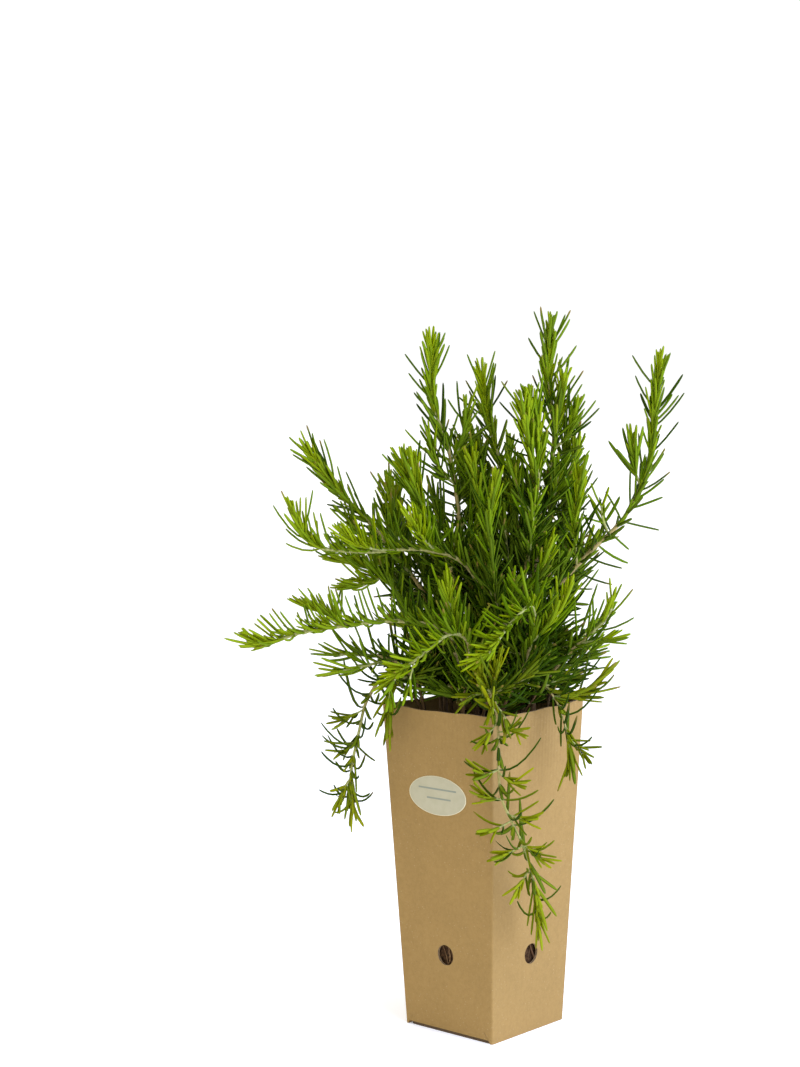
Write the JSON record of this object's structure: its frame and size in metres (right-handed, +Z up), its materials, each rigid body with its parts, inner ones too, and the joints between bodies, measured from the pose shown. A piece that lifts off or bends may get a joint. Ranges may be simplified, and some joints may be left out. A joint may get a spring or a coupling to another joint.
{
  "type": "potted rosemary plant",
  "caption": "Bushy rosemary with upright and trailing needle-leaved stems, rooted in soil in a tall tapered square pot folded from plain kraft board, with an oval label.",
  "frame": {"origin": "centre of the carton pot's flat underside, on the surface that it stands on", "axes": "+Z up along the pot's axis; the wall that carries the oval label faces -Y, +X is to that wall's right as seen from in front of it"},
  "size_m": [0.2005, 0.226, 0.4585],
  "materials": {
    "board": "matt unprinted kraft board with fine flecks and faint flute lines",
    "label": "smooth pale cream sticker with plain ruled lines",
    "soil": "dark crumbly potting soil held by a web of fine pale roots",
    "foliage": "satin needles, yellow-green when young and dark green when old, pale beneath, on olive to tan stems"
  },
  "bodies": {
    "root": {"carton": "board", "label": "label", "root_ball": "soil", "stem_tall": "foliage", "stem_centre": "foliage", "stem_left_tall": "foliage", "stem_rear": "foliage", "stem_right": "foliage", "stem_upper_left": "foliage", "stem_long_left": "foliage", "stem_mid_left": "foliage", "stem_low_left": "foliage", "stem_side_left": "foliage", "stem_front_left": "foliage", "stem_front": "foliage", "stem_front_right": "foliage", "stem_right_rear": "foliage", "stem_rear_left": "foliage", "stem_rear_right": "foliage", "stem_rear_low": "foliage", "trail_front": "foliage", "trail_left": "foliage", "trail_right": "foliage", "trail_rear": "foliage"}
  },
  "joints": []
}
